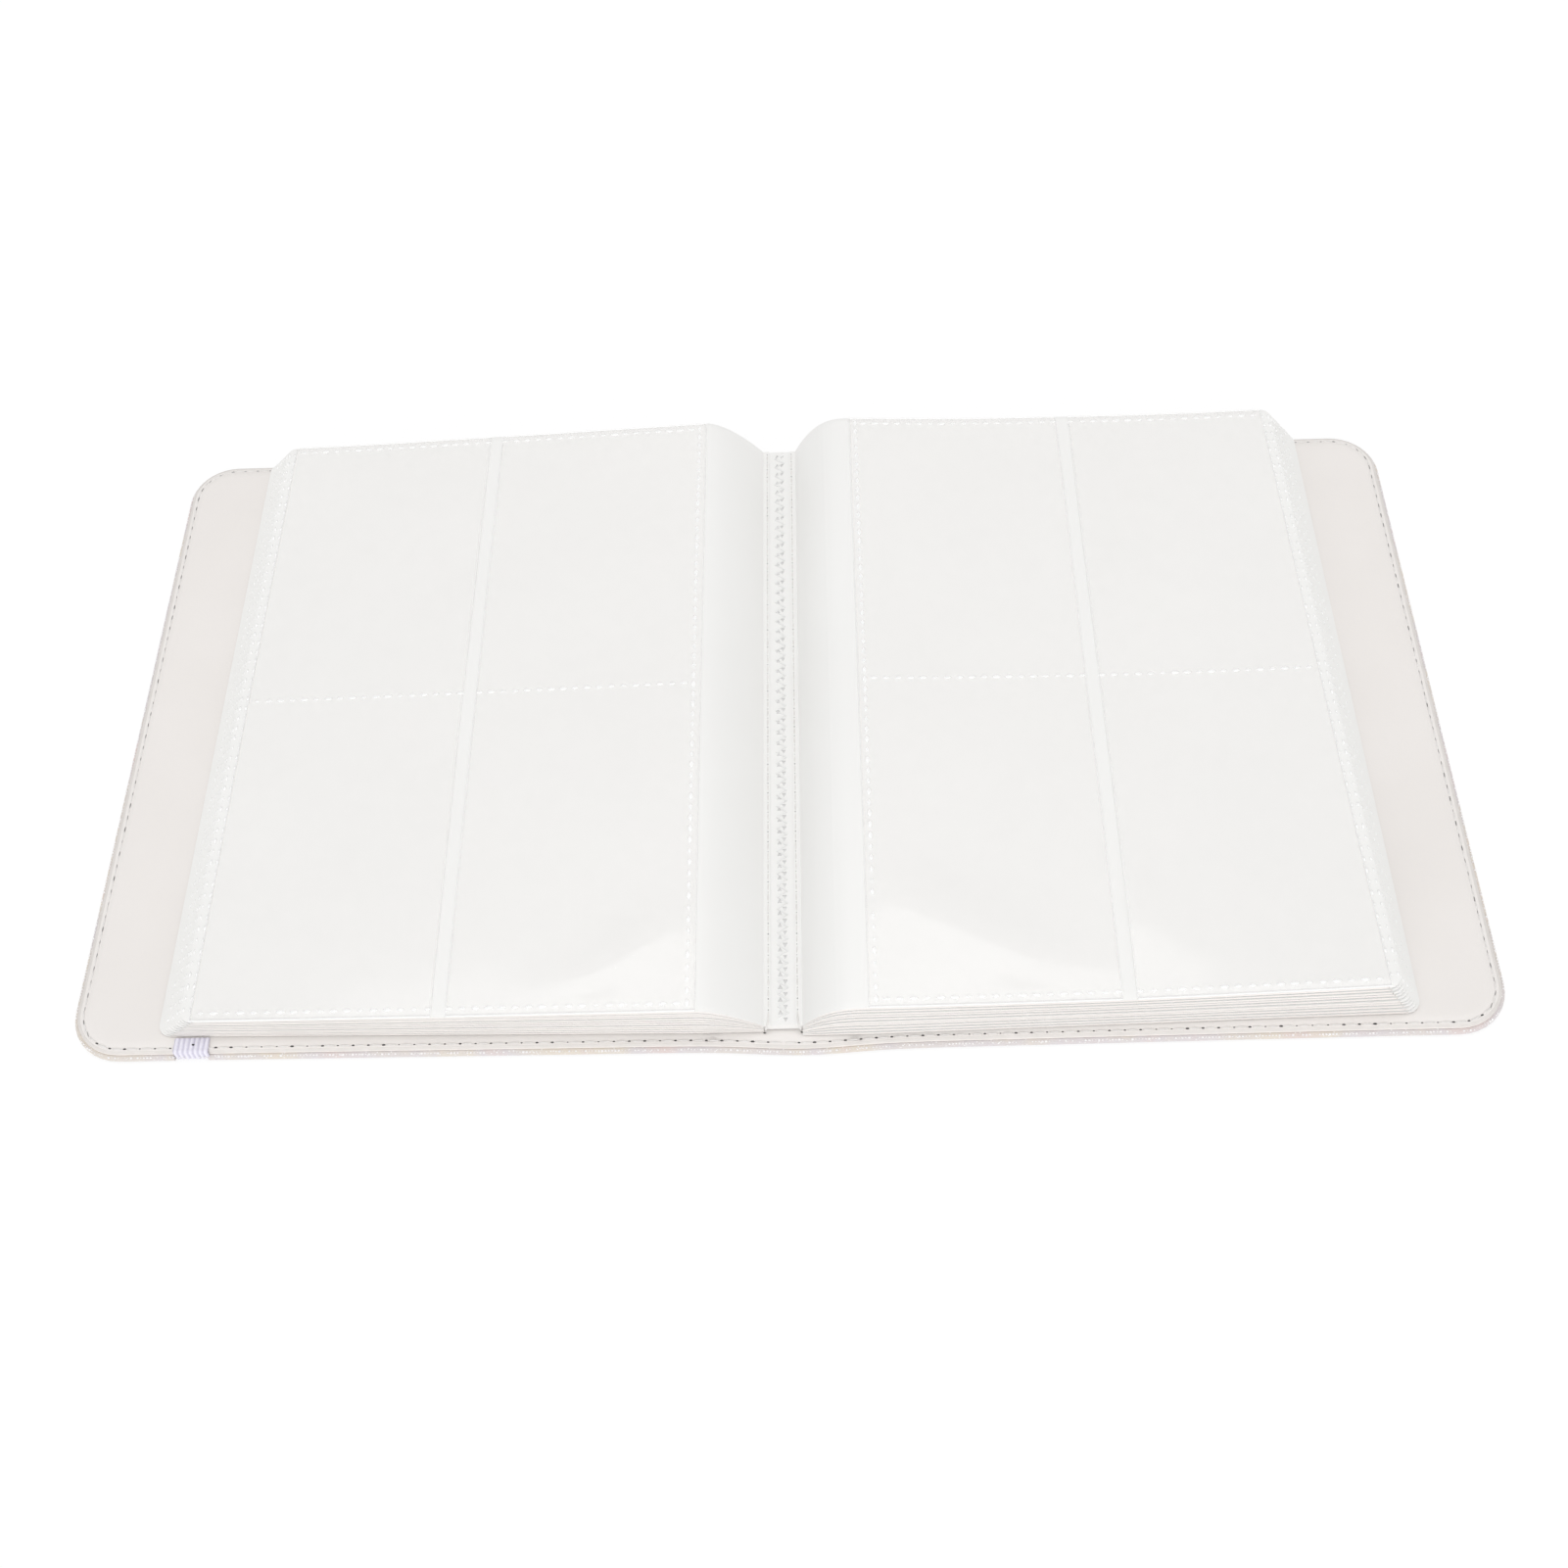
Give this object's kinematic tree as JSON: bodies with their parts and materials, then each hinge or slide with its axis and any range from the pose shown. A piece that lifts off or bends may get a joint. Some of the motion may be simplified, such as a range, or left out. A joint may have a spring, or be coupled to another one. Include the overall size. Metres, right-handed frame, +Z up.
{
  "type": "photo album",
  "caption": "Photo album lying open: leathercloth covers hinged on a spine, sewn-in clear pocket leaves that turn over, and an elastic closure band round the back cover.",
  "frame": {"origin": "on the table, under the middle of the spine", "axes": "+X to the reader's right across the open album, +Y away from the reader along the spine, +Z up"},
  "size_m": [0.351, 0.1968, 0.0182],
  "materials": {
    "outer_skin": "pale pearly coated synthetic leather, soft",
    "lining": "smooth matt off-white synthetic leather",
    "board": "plain grey board, hidden",
    "leaf_film": "milky soft film",
    "pocket_film": "clear soft film",
    "thread": "white sewing thread",
    "elastic": "pale ribbed woven elastic"
  },
  "bodies": {
    "spine": {"spine_outer_skin": "outer_skin", "spine_board": "board", "spine_lining": "lining", "spine_seam_thread_head": "thread", "spine_seam_thread_tail": "thread", "binding_strip": "leaf_film", "binding_thread_left": "thread", "binding_thread_right": "thread", "left_leaf_roots": "leaf_film", "right_leaf_roots": "leaf_film", "right_leaf_02_root": "leaf_film", "right_leaf_03_root": "leaf_film"},
    "back_cover": {"back_cover_outer_skin": "outer_skin", "back_cover_board": "board", "back_cover_lining": "lining", "back_cover_seam_thread": "thread", "elastic_band": "elastic"},
    "front_cover": {"front_cover_outer_skin": "outer_skin", "front_cover_board": "board", "front_cover_lining": "lining", "front_cover_seam_thread": "thread"},
    "left_leaves": {"left_leaf_01": "leaf_film", "left_leaf_01_inner_film": "pocket_film", "left_leaf_01_outer_film": "pocket_film", "left_leaf_02": "leaf_film", "left_leaf_03": "leaf_film", "left_leaf_04": "leaf_film", "left_leaf_05": "leaf_film", "left_leaf_06": "leaf_film", "left_leaf_07": "leaf_film", "left_leaf_08": "leaf_film", "left_leaf_09": "leaf_film", "left_leaf_10": "leaf_film"},
    "right_leaves": {"right_leaf_04": "leaf_film", "right_leaf_05": "leaf_film", "right_leaf_06": "leaf_film", "right_leaf_07": "leaf_film", "right_leaf_08": "leaf_film", "right_leaf_09": "leaf_film", "right_leaf_10": "leaf_film"},
    "third_right_leaf": {"right_leaf_03": "leaf_film"},
    "second_right_leaf": {"right_leaf_02": "leaf_film"},
    "top_right_leaf_root": {"right_leaf_01_root": "leaf_film"},
    "top_right_leaf": {"right_leaf_01": "leaf_film", "right_leaf_01_inner_film": "pocket_film", "right_leaf_01_outer_film": "pocket_film"}
  },
  "joints": [
    {"name": "back_cover_hinge", "type": "hinge", "parent": "spine", "child": "back_cover", "pos_m": [-0.01877, 0, 0.0004], "axis": [0, 1, 0], "range_deg": [0, 90]},
    {"name": "front_cover_hinge", "type": "hinge", "parent": "spine", "child": "front_cover", "pos_m": [0.01877, 0, 0.0004], "axis": [0, -1, 0], "range_deg": [0, 90]},
    {"name": "left_leaves_hinge", "type": "hinge", "parent": "spine", "child": "left_leaves", "pos_m": [-0.0084, 0, 0.01077], "axis": [0, 1, 0], "range_deg": [0, 90], "deforming": ["left_leaf_roots"]},
    {"name": "right_leaves_hinge", "type": "hinge", "parent": "spine", "child": "right_leaves", "pos_m": [0.0084, 0, 0.01077], "axis": [0, -1, 0], "range_deg": [0, 90], "deforming": ["right_leaf_roots"]},
    {"name": "third_right_leaf_turn", "type": "hinge", "parent": "right_leaves", "child": "third_right_leaf", "pos_m": [0.0047, 0, 0.0059], "axis": [0, 1, 0], "range_deg": [-12, 0], "deforming": ["right_leaf_03_root"]},
    {"name": "second_right_leaf_turn", "type": "hinge", "parent": "third_right_leaf", "child": "second_right_leaf", "pos_m": [0.0047, 0, 0.0059], "axis": [0, 1, 0], "range_deg": [-15, 0], "deforming": ["right_leaf_02_root"]},
    {"name": "top_right_leaf_turn", "type": "hinge", "parent": "second_right_leaf", "child": "top_right_leaf_root", "pos_m": [0.0047, 0, 0.0059], "axis": [0, 1, 0], "range_deg": [-71, 0], "deforming": ["right_leaf_01_root"]},
    {"name": "top_right_leaf_fold", "type": "hinge", "parent": "top_right_leaf_root", "child": "top_right_leaf", "pos_m": [0.0205, 0, 0.01748], "axis": [0, 1, 0], "range_deg": [-85.2, 0]}
  ],
  "couplings": [
    {"joint": "left_leaves_hinge", "follows": "back_cover_hinge", "ratio": 1},
    {"joint": "right_leaves_hinge", "follows": "front_cover_hinge", "ratio": 1},
    {"joint": "top_right_leaf_fold", "follows": "top_right_leaf_turn", "ratio": 1.2}
  ]
}
